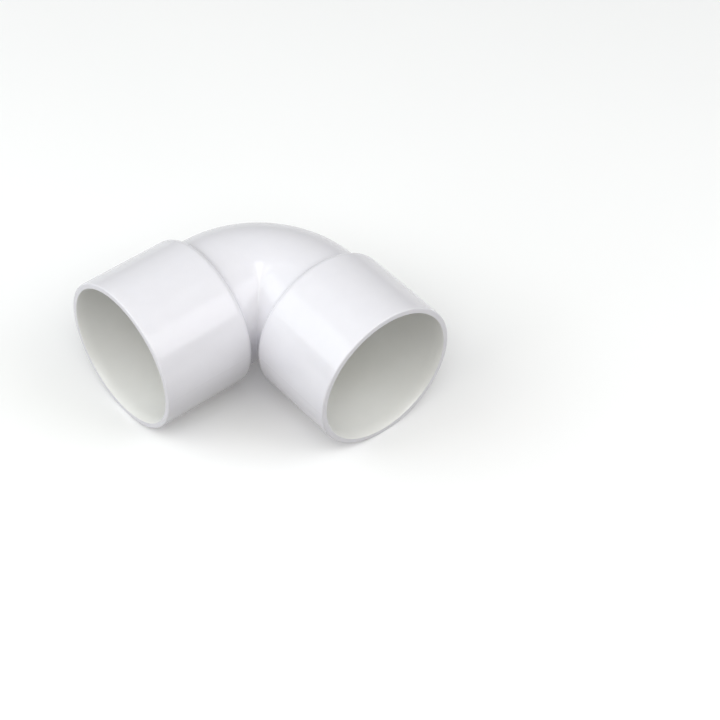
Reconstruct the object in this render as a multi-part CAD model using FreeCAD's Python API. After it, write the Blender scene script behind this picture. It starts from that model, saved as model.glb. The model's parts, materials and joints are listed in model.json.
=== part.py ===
import FreeCAD, Part

import math
import os

from FreeCAD import Vector

# A 90 degree solvent-weld elbow for 43 mm plastic pipe (40 mm nominal size), in millimetres.
#
# The real fitting is one thin-walled injection moulding: two sockets joined by a short, tight
# bend. It is modelled as the three regions that a fitter names, divided at the foot of each
# socket's shoulder. Each region is a closed solid that meets its neighbour on one flat ring.
#
# Frame: both socket axes lie in the plane z = 0. The inlet faces +Y and the outlet faces +X.
# The origin is the centre of the inlet's pipe stop, where the end of the inlet pipe lands.

# Driving dimensions
PIPE_OD = 43.0  # outside diameter of the pipe that both sockets take
PIPE_CLEARANCE = 0.1  # radial gap left for the solvent cement
WALL = 2.2  # thickness of the moulding
CENTRE_TO_MOUTH = 55.0  # from the crossing of the two axes to either mouth
CENTRE_TO_STOP = 26.0  # from the crossing to the ledge that stops the pipe
CENTRE_TO_CREASE = 22.4  # from the crossing to the foot of either shoulder
BEND_OUTER_R = 20.9  # outside radius of the bend's tube
BEND_RADIUS = 19.5  # of the bend's centreline: less than the tube's, so the throat is a crease

# Small features of the moulding
DRAFT_DEG = 0.25  # the outside of a socket narrows this much towards its shoulder
SHOULDER_R = 2.4  # convex round at the back of each socket
CREASE_R = 1.4  # concave round at the foot of the shoulder
LEAD_IN_DEPTH = 0.9  # chamfer that guides the pipe into the mouth
LEAD_IN_STEP = 0.5
RIM_ROUND = 0.45  # round on the mouth's outer edge
STOP_ROUND = 0.6  # round on the ledge's inner edge

# Worked out from these
SOCKET_BORE_R = PIPE_OD / 2 + PIPE_CLEARANCE
SOCKET_OUTER_R = SOCKET_BORE_R + WALL
BEND_BORE_R = BEND_OUTER_R - WALL
CENTRE = Vector(0, -CENTRE_TO_STOP, 0)  # where the two socket axes cross
UP = Vector(0, 0, 1)
QUARTER_TURN = 90
SHOULDER_ROUNDS = 20  # passes that settle where the shoulder meets the tapered side


def on_arc(centre, radius, degrees):
    angle = math.radians(degrees)
    return centre + Vector(radius * math.cos(angle), radius * math.sin(angle), 0)


def arc(centre, radius, start, end):
    """An edge of the half section, from one angle to another about a centre."""
    ends = [on_arc(centre, radius, degrees) for degrees in (start, (start + end) / 2, end)]
    return Part.Arc(*ends).toShape()


def line(a, b):
    return Part.LineSegment(a, b).toShape()


def shoulder_centre(rim_end):
    """Where the shoulder's round is centred, so that it touches both the side and the crease.

    The crease's own centre is one crease radius outside the bend's tube.
    """
    slope = math.tan(math.radians(DRAFT_DEG))
    rise = BEND_OUTER_R + CREASE_R
    reach = SHOULDER_R + CREASE_R
    along = CENTRE_TO_CREASE + reach
    for _ in range(SHOULDER_ROUNDS):
        side_r = rim_end.y - (rim_end.x - along) * slope
        centre_r = side_r - SHOULDER_R / math.cos(math.radians(DRAFT_DEG))
        along = CENTRE_TO_CREASE + math.sqrt(reach**2 - (centre_r - rise) ** 2)
    return Vector(along, centre_r, 0)


def outer_edges():
    """The outside of a socket, from the flat of the mouth back to the foot of its shoulder.

    The half section has the distance from the crossing along X, and the radius along Y.
    """
    square = QUARTER_TURN + DRAFT_DEG
    rim = Vector(CENTRE_TO_MOUTH - RIM_ROUND, SOCKET_OUTER_R - RIM_ROUND, 0)
    rim_end = on_arc(rim, RIM_ROUND, square)
    crease = Vector(CENTRE_TO_CREASE, BEND_OUTER_R + CREASE_R, 0)
    shoulder = shoulder_centre(rim_end)
    turn = math.degrees(math.atan2(shoulder.y - crease.y, shoulder.x - crease.x))
    foot = Vector(CENTRE_TO_CREASE, BEND_OUTER_R, 0)
    return [
        arc(rim, RIM_ROUND, 0, square),
        line(rim_end, on_arc(shoulder, SHOULDER_R, square)),
        arc(shoulder, SHOULDER_R, square, turn + 2 * QUARTER_TURN),
        arc(crease, CREASE_R, turn, -QUARTER_TURN),
        line(foot, Vector(CENTRE_TO_CREASE, BEND_BORE_R, 0)),
    ]


def inner_edges():
    """The inside of a socket, from the foot of its shoulder out to the flat of the mouth."""
    ledge = Vector(CENTRE_TO_STOP - STOP_ROUND, BEND_BORE_R + STOP_ROUND, 0)
    corner = Vector(CENTRE_TO_STOP, SOCKET_BORE_R, 0)
    bore_end = Vector(CENTRE_TO_MOUTH - LEAD_IN_DEPTH, SOCKET_BORE_R, 0)
    lip = Vector(CENTRE_TO_MOUTH, SOCKET_BORE_R + LEAD_IN_STEP, 0)
    return [
        line(Vector(CENTRE_TO_CREASE, BEND_BORE_R, 0), Vector(ledge.x, BEND_BORE_R, 0)),
        arc(ledge, STOP_ROUND, -QUARTER_TURN, 0),
        line(Vector(CENTRE_TO_STOP, ledge.y, 0), corner),
        line(corner, bore_end),
        line(bore_end, lip),
        line(lip, Vector(CENTRE_TO_MOUTH, SOCKET_OUTER_R - RIM_ROUND, 0)),
    ]


def socket():
    """One socket about the X axis, measured from the crossing of the axes."""
    section = Part.Face(Part.Wire(Part.sortEdges(outer_edges() + inner_edges())[0]))
    return section.revolve(Vector(), Vector(1, 0, 0), 360)


def outlet_socket():
    return socket().translated(CENTRE)


def inlet_socket():
    turned = socket()
    turned.rotate(Vector(), UP, QUARTER_TURN)
    return turned.translated(CENTRE)


def bend_section(radius):
    """The tube's round section at the start of the turn, cut off by the axis it turns about."""
    if radius <= BEND_RADIUS:
        circle = Part.makeCircle(radius, Vector(BEND_RADIUS, 0, 0), Vector(1, 0, 0))
        return Part.Face(Part.Wire(circle))
    half = math.sqrt(radius**2 - BEND_RADIUS**2)
    top = Vector(BEND_RADIUS, BEND_RADIUS, half)
    bottom = Vector(BEND_RADIUS, BEND_RADIUS, -half)
    back = Part.Arc(top, Vector(BEND_RADIUS, -radius, 0), bottom).toShape()
    return Part.Face(Part.Wire([back, line(bottom, top)]))


def rod(radius):
    """A solid rod along the bend's centreline, from one crease to the other."""
    stub = CENTRE_TO_CREASE - BEND_RADIUS
    axis = Vector(BEND_RADIUS, BEND_RADIUS, 0)
    turn = bend_section(radius).revolve(axis, UP, -QUARTER_TURN)
    to_outlet = Part.makeCylinder(radius, stub, Vector(BEND_RADIUS, 0, 0), Vector(1, 0, 0))
    to_inlet = Part.makeCylinder(radius, stub, Vector(0, BEND_RADIUS, 0), Vector(0, 1, 0))
    return turn.fuse([to_outlet, to_inlet])


def bend():
    return rod(BEND_OUTER_R).cut(rod(BEND_BORE_R)).removeSplitter().translated(CENTRE)


REGIONS = {
    "inlet_socket": inlet_socket,
    "bend": bend,
    "outlet_socket": outlet_socket,
}

os.makedirs("parts", exist_ok=True)
for name, make in REGIONS.items():
    shape = make()
    shape.exportStep(f"parts/{name}.step")
    print(name, shape.ShapeType, len(shape.Solids), shape.isValid(), round(shape.Volume, 1))
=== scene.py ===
import json
import math

import bmesh
import bpy
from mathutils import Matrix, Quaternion, Vector


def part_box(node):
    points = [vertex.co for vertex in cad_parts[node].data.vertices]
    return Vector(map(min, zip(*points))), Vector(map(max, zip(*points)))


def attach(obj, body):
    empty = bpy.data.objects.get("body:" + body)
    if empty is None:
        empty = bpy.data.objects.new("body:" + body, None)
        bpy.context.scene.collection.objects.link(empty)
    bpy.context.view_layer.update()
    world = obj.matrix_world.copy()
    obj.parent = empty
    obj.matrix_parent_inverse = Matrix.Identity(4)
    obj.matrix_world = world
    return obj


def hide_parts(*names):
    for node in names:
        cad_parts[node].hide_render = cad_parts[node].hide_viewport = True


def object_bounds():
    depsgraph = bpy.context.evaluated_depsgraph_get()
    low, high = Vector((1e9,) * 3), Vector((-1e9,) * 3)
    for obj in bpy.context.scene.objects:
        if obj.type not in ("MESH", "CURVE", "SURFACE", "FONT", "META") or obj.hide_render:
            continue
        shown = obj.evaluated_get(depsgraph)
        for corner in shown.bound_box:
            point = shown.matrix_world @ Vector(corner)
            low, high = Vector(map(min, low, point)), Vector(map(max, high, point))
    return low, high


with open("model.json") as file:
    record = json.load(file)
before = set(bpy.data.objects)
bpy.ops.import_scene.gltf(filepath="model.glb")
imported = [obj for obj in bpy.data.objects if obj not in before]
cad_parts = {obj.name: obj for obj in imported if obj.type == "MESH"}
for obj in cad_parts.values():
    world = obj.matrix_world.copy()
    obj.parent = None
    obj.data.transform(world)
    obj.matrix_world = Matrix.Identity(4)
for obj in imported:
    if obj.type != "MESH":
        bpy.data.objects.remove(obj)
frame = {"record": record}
cad_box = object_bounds()

# ---------------------------------------------------------------- sizes, in metres
MM = 0.001


def mount(name):
    return next(m for m in frame["record"]["mounts"] if m["name"] == name)


OUTLET_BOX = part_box("outlet_socket")
BEND_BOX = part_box("bend")
STOP = Vector(mount("outlet")["pos_m"])  # centre of the outlet's pipe stop
CENTRE = Vector((0, STOP.y, 0))  # where the two socket axes cross
BORE_R = mount("outlet")["dims"]["r_mm"] * MM
BORE_LENGTH = mount("outlet")["dims"]["length_mm"] * MM
SOCKET_R = OUTLET_BOX[1].z  # outside of a socket
MOUTH = OUTLET_BOX[1].x  # from the crossing to the mouth
CREASE = OUTLET_BOX[0].x  # from the crossing to the foot of the shoulder
TUBE_R = BEND_BOX[1].z  # outside of the bend's tube
WALL = SOCKET_R - BORE_R
WATERWAY_R = TUBE_R - WALL
FLOOR_Z = -SOCKET_R

# Shapes that the frame's boxes don't give
BEND_RADIUS = 19.5 * MM  # of the bend's centreline
THROAT_ROUND = 0.35 * MM  # smallest round in the throat of the elbow
THROAT_SHARP = 0.8  # cosine, from the throat, of the angle where the crease starts to fade
THROAT_SOFT = 0.2  # and of the angle where it has gone
DRAFT = math.tan(math.radians(0.25))  # the sockets narrow towards their shoulders
SHOULDER_ROUND = 2.4 * MM
CREASE_ROUND = 1.4 * MM
RIM_ROUND = 0.45 * MM
STOP_ROUND = 0.6 * MM
LEAD_IN_STEP = 0.5 * MM
PARTING_HALF_WIDTH = 0.22 * MM  # the fine line where the two mould halves met
PARTING_PROUD = 0.035 * MM

# How finely the shapes are divided
AROUND = 240  # faces round a tube
ROUND_STEPS = 10  # along a small round
TURN_STEPS = 96  # along the bend
SIDE_STEPS = 12  # along a socket's outside
BORE_STEPS = 10
SHOULDER_PASSES = 20  # that settle where the shoulder meets the tapered side
SHARP_DEGREES = 38  # edges sharper than this aren't smoothed


# ---------------------------------------------------------------- the moulding
def arc_points(along, radius, round_r, start, end, steps=ROUND_STEPS):
    """Points of a round in a socket's half section, as (distance along the axis, radius)."""
    points = []
    for i in range(steps + 1):
        angle = math.radians(start + (end - start) * i / steps)
        points.append((along + round_r * math.cos(angle), radius + round_r * math.sin(angle)))
    return points


def straight(a, b, steps):
    """Points strictly between two points of the half section."""
    return [
        (a[0] + (b[0] - a[0]) * i / steps, a[1] + (b[1] - a[1]) * i / steps)
        for i in range(1, steps)
    ]


def outside_profile():
    """The outside of a socket from the flat of its mouth to the foot of its shoulder."""
    rim = arc_points(MOUTH - RIM_ROUND, SOCKET_R - RIM_ROUND, RIM_ROUND, 0, 90)
    reach = SHOULDER_ROUND + CREASE_ROUND
    foot_r = TUBE_R + CREASE_ROUND
    along = CREASE + reach
    for _ in range(SHOULDER_PASSES):
        centre_r = SOCKET_R - (MOUTH - along) * DRAFT - SHOULDER_ROUND
        along = CREASE + math.sqrt(reach**2 - (centre_r - foot_r) ** 2)
    turn = math.degrees(math.atan2(centre_r - foot_r, along - CREASE))
    shoulder = arc_points(along, centre_r, SHOULDER_ROUND, 90, 180 + turn, 2 * ROUND_STEPS)
    crease = arc_points(CREASE, foot_r, CREASE_ROUND, turn, -90)
    side = straight(rim[-1], shoulder[0], SIDE_STEPS)
    return rim + side + shoulder + crease[1:]


def inside_profile():
    """The inside of a socket from the foot of its shoulder to the flat of its mouth."""
    ledge = arc_points(STOP.x - STOP_ROUND, WATERWAY_R + STOP_ROUND, STOP_ROUND, -90, 0)
    corner = (STOP.x, BORE_R)
    bore_end = (STOP.x + BORE_LENGTH, BORE_R)
    lip = (MOUTH, BORE_R + LEAD_IN_STEP)
    return [
        (CREASE, WATERWAY_R),
        *ledge,
        corner,
        *straight(corner, bore_end, BORE_STEPS),
        bore_end,
        lip,
    ]


def angles():
    """Angles round a tube, with three close together at each parting line."""
    spread = PARTING_HALF_WIDTH / SOCKET_R
    even = [2 * math.pi * i / AROUND for i in range(AROUND)]
    extra = [spread, 2 * math.pi - spread, math.pi - spread, math.pi + spread]
    return sorted(even + extra)


def parting(angle):
    """How proud the surface stands at this angle round a tube."""
    return PARTING_PROUD if math.isclose(math.sin(angle), 0, abs_tol=1e-6) else 0.0


def place(kind, along, across, up):
    """A point of either leg. across is measured towards the other leg."""
    if kind == "outlet":
        return CENTRE + Vector((along, across, up))
    return CENTRE + Vector((across, along, up))


def make_object(name, verts, faces, bore_faces, node):
    """A closed piece that shows in place of the node's plain solid."""
    mesh = bpy.data.meshes.new(name)
    mesh.from_pydata(verts, [], faces)
    mesh.update()
    bm = bmesh.new()
    bm.from_mesh(mesh)
    bmesh.ops.recalc_face_normals(bm, faces=bm.faces)
    bm.to_mesh(mesh)
    bm.free()
    mesh.shade_smooth()
    mesh.set_sharp_from_angle(angle=math.radians(SHARP_DEGREES))
    obj = bpy.data.objects.new(name, mesh)
    bpy.context.collection.objects.link(obj)
    obj.data.materials.append(outside_pvc)
    obj.data.materials.append(bore_pvc_painted_bounce)
    # The bore's faces take the second PVC, whose lighter, warmer colour is painted bounce light
    for index in bore_faces:
        mesh.polygons[index].material_index = 1
    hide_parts(node)
    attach(obj, "root")
    return obj


def make_socket(kind):
    """One socket as a closed surface of revolution."""
    outer, inner = outside_profile(), inside_profile()
    profile = outer + inner
    turns = angles()
    verts, faces, bore_faces = [], [], []
    for index, (along, radius) in enumerate(profile):
        for angle in turns:
            proud = parting(angle) if 0 < index < len(outer) - 1 else 0.0
            r = radius + proud
            verts.append(place(kind, along, r * math.cos(angle), r * math.sin(angle)))
    n = len(turns)
    for i in range(len(profile)):
        j = (i + 1) % len(profile)
        for k in range(n):
            m = (k + 1) % n
            if len(outer) <= i < len(profile) - 1:
                bore_faces.append(len(faces))
            faces.append((i * n + k, i * n + m, j * n + m, j * n + k))
    return make_object(f"{kind}_socket_moulding", verts, faces, bore_faces, f"{kind}_socket")


def turn_radius(angle):
    """How tightly the line at this angle round the tube turns the corner.

    The heel turns about the bend's own centre. Towards the throat the turn tightens to a crease.
    """
    swept = BEND_RADIUS - TUBE_R * math.cos(angle)
    share = min(max((math.cos(angle) - THROAT_SOFT) / (THROAT_SHARP - THROAT_SOFT), 0), 1)
    share = share * share * (3 - 2 * share)
    return max(swept * (1 - share), 0) + THROAT_ROUND * share


def bend_line(radius, angle):
    """One line along the bend, from the outlet's crease round to the inlet's.

    It is straight, then turns on an arc, then is straight again.
    """
    across, up = radius * math.cos(angle), radius * math.sin(angle)
    arc_r = turn_radius(angle) if across > 0 else BEND_RADIUS - across
    centre = across + arc_r
    points = [(CREASE, across, up)]
    for i in range(TURN_STEPS + 1):
        turn = math.pi / 2 * i / TURN_STEPS
        points.append((centre - arc_r * math.sin(turn), centre - arc_r * math.cos(turn), up))
    points.append((across, CREASE, up))
    return [CENTRE + Vector(p) for p in points]


def make_bend():
    """The bend as one closed surface: outside, inside and the two flat rings at its ends."""
    turns = angles()
    n = len(turns)
    verts, faces, bore_faces = [], [], []
    steps = TURN_STEPS + 3
    for radius, is_outer in ((TUBE_R, True), (WATERWAY_R, False)):
        start = len(verts)
        for angle in turns:
            r = radius + (parting(angle) if is_outer else 0.0)
            verts.extend(bend_line(r, angle))
        for k in range(n):
            m = (k + 1) % n
            for s in range(steps - 1):
                if not is_outer:
                    bore_faces.append(len(faces))
                a, b = start + k * steps + s, start + m * steps + s
                faces.append((a, b, b + 1, a + 1))
    offset = n * steps
    for k in range(n):
        m = (k + 1) % n
        for s in (0, steps - 1):
            a, b = k * steps + s, m * steps + s
            faces.append((a, b, b + offset, a + offset))
    return make_object("bend_moulding", verts, faces, bore_faces, "bend")


# ---------------------------------------------------------------- materials
def new_material(name):
    material = bpy.data.materials.new(name)
    material.use_nodes = True
    nodes, links = material.node_tree.nodes, material.node_tree.links
    return material, nodes, links, nodes["Principled BSDF"]


def noise(nodes, links, coords, scale, detail):
    texture = nodes.new("ShaderNodeTexNoise")
    texture.inputs["Scale"].default_value = scale
    texture.inputs["Detail"].default_value = detail
    links.new(coords.outputs["Object"], texture.inputs["Vector"])
    return texture


def ramp(nodes, links, source, low, high, start=0.25, end=0.75):
    """A colour or grey that follows a noise between two values."""
    blend = nodes.new("ShaderNodeValToRGB")
    blend.color_ramp.interpolation = "EASE"
    blend.color_ramp.elements[0].position = start
    blend.color_ramp.elements[1].position = end
    blend.color_ramp.elements[0].color = (*low, 1)
    blend.color_ramp.elements[1].color = (*high, 1)
    links.new(source.outputs["Fac"], blend.inputs["Fac"])
    return blend


def bump(nodes, links, source, distance, under=None):
    """Relief of that height from a noise, on top of another relief."""
    relief = nodes.new("ShaderNodeBump")
    relief.inputs["Distance"].default_value = distance
    links.new(source.outputs["Fac"], relief.inputs["Height"])
    if under:
        links.new(under.outputs["Normal"], relief.inputs["Normal"])
    return relief


def pvc(name, dull, clean, polished, worn, wave):
    """Moulded PVC: faintly mottled colour, a gloss that varies, slow flow waves and fine grain."""
    material, nodes, links, shader = new_material(name)
    coords = nodes.new("ShaderNodeTexCoord")
    mottle = noise(nodes, links, coords, 260, 6)
    colour = ramp(nodes, links, mottle, dull, clean)
    links.new(colour.outputs["Color"], shader.inputs["Base Color"])
    haze = noise(nodes, links, coords, 90, 4)
    gloss = ramp(nodes, links, haze, (polished,) * 3, (worn,) * 3)
    links.new(gloss.outputs["Color"], shader.inputs["Roughness"])
    flow = bump(nodes, links, noise(nodes, links, coords, 60, 1), wave)
    grain = bump(nodes, links, noise(nodes, links, coords, 1500, 2), 0.003 * MM, flow)
    links.new(grain.outputs["Normal"], shader.inputs["Normal"])
    shader.inputs["IOR"].default_value = 1.53
    shader.inputs["Subsurface Weight"].default_value = 0.1
    shader.inputs["Subsurface Radius"].default_value = (1.0, 0.95, 0.85)
    shader.inputs["Subsurface Scale"].default_value = 1.2 * MM
    return material


outside_pvc = pvc(
    "pvc_outside", (0.752, 0.743, 0.785), (0.764, 0.755, 0.797), 0.14, 0.21, 0.12 * MM
)
# A copy of the same PVC for the bore, lighter and warmer than the outside: painted bounce light
# inside the sockets and the bend
bore_pvc_painted_bounce = pvc("pvc_bore_painted_bounce", (0.8, 0.799, 0.778), (0.812, 0.811, 0.79), 0.3, 0.4, 0.1 * MM)


def floor_material():
    material, nodes, links, shader = new_material("studio_floor")
    coords = nodes.new("ShaderNodeTexCoord")
    paper = noise(nodes, links, coords, 8, 2)
    colour = ramp(nodes, links, paper, (0.93, 0.93, 0.935), (0.94, 0.94, 0.945))
    links.new(colour.outputs["Color"], shader.inputs["Base Color"])
    shader.inputs["Roughness"].default_value = 0.9
    return material


# ---------------------------------------------------------------- studio
VIEW_AZIMUTH = 139.61  # degrees, 0 looks along +Y
VIEW_ELEVATION = 46.31
VIEW_ROLL = 0.97
LENS = 119.02  # millimetres, on a sensor 36 mm wide
DISTANCE = 694.2 * MM
AIM_OFFSET = Vector((-14.02, 29.49, 0)) * MM  # from the middle of the object's box
LIGHT_DISTANCE = 0.9
FLOOR_HALF = 6.0


def direction(azimuth, elevation):
    """Unit vector from the object towards a viewer or a lamp."""
    a, e = math.radians(azimuth), math.radians(elevation)
    return Vector((math.sin(a) * math.cos(e), -math.cos(a) * math.cos(e), math.sin(e)))


def make_camera():
    camera = bpy.data.cameras.new("camera")
    camera.sensor_width = 36
    camera.lens = LENS
    camera.clip_start, camera.clip_end = 0.01, 50
    obj = bpy.data.objects.new("camera", camera)
    bpy.context.collection.objects.link(obj)
    back = direction(VIEW_AZIMUTH, VIEW_ELEVATION)
    middle = (cad_box[0] + cad_box[1]) / 2
    obj.location = middle + AIM_OFFSET + back * DISTANCE
    obj.rotation_mode = "QUATERNION"
    roll = Quaternion((0, 0, 1), math.radians(VIEW_ROLL))
    obj.rotation_quaternion = (-back).to_track_quat("-Z", "Y") @ roll
    bpy.context.scene.camera = obj


def softbox(name, azimuth, elevation, size, power, colour):
    """A rectangular lamp that faces the elbow, with its size in metres and power in watts."""
    light = bpy.data.lights.new(name, "AREA")
    light.shape = "RECTANGLE"
    light.size, light.size_y = size
    light.energy = power
    light.color = colour
    obj = bpy.data.objects.new(name, light)
    bpy.context.collection.objects.link(obj)
    back = direction(azimuth, elevation)
    obj.location = CENTRE + back * LIGHT_DISTANCE
    obj.rotation_mode = "QUATERNION"
    obj.rotation_quaternion = (-back).to_track_quat("-Z", "Y")


def make_floor():
    signs = ((-1, -1), (1, -1), (1, 1), (-1, 1))
    verts = [(x * FLOOR_HALF, y * FLOOR_HALF, FLOOR_Z) for x, y in signs]
    mesh = bpy.data.meshes.new("floor")
    mesh.from_pydata(verts, [], [(0, 1, 2, 3)])
    mesh.materials.append(floor_material())
    obj = bpy.data.objects.new("floor", mesh)
    bpy.context.collection.objects.link(obj)
    obj.visible_diffuse = False  # its glow would wash out the shade under the elbow


def make_world(colour, strength):
    world = bpy.data.worlds.new("studio_world")
    world.use_nodes = True
    background = world.node_tree.nodes["Background"]
    background.inputs["Color"].default_value = (*colour, 1)
    background.inputs["Strength"].default_value = strength
    bpy.context.scene.world = world


# ---------------------------------------------------------------- put together
make_socket("inlet")
make_bend()
make_socket("outlet")

make_floor()
make_world((1.0, 0.985, 0.95), 0.325)
softbox("softbox_left", 38, 42, (0.9, 0.9), 1.4, (0.92, 0.98, 1.0))
softbox("softbox_right", 224, 47, (0.9, 0.9), 1.75, (0.93, 0.97, 1.0))
softbox("softbox_left_fill", 48, 33, (0.5, 0.5), 1.15, (0.92, 1.0, 1.0))
softbox("softbox_right_fill", 214, 36, (0.5, 0.5), 1.4, (0.95, 0.94, 1.0))
softbox("softbox_front", VIEW_AZIMUTH, 52, (0.35, 0.6), 2.3, (0.95, 0.97, 1.0))
softbox("softbox_low_left", 80, 25, (0.5, 0.5), 1.75, (0.9, 0.93, 1.0))
softbox("softbox_outlet", 90, 48, (0.5, 0.5), 1.2, (1.0, 0.96, 0.85))
softbox("softbox_inlet", 180, 48, (0.5, 0.5), 0.85, (1.0, 1.0, 0.8))
bpy.context.scene.view_settings.view_transform = "Standard"
make_camera()
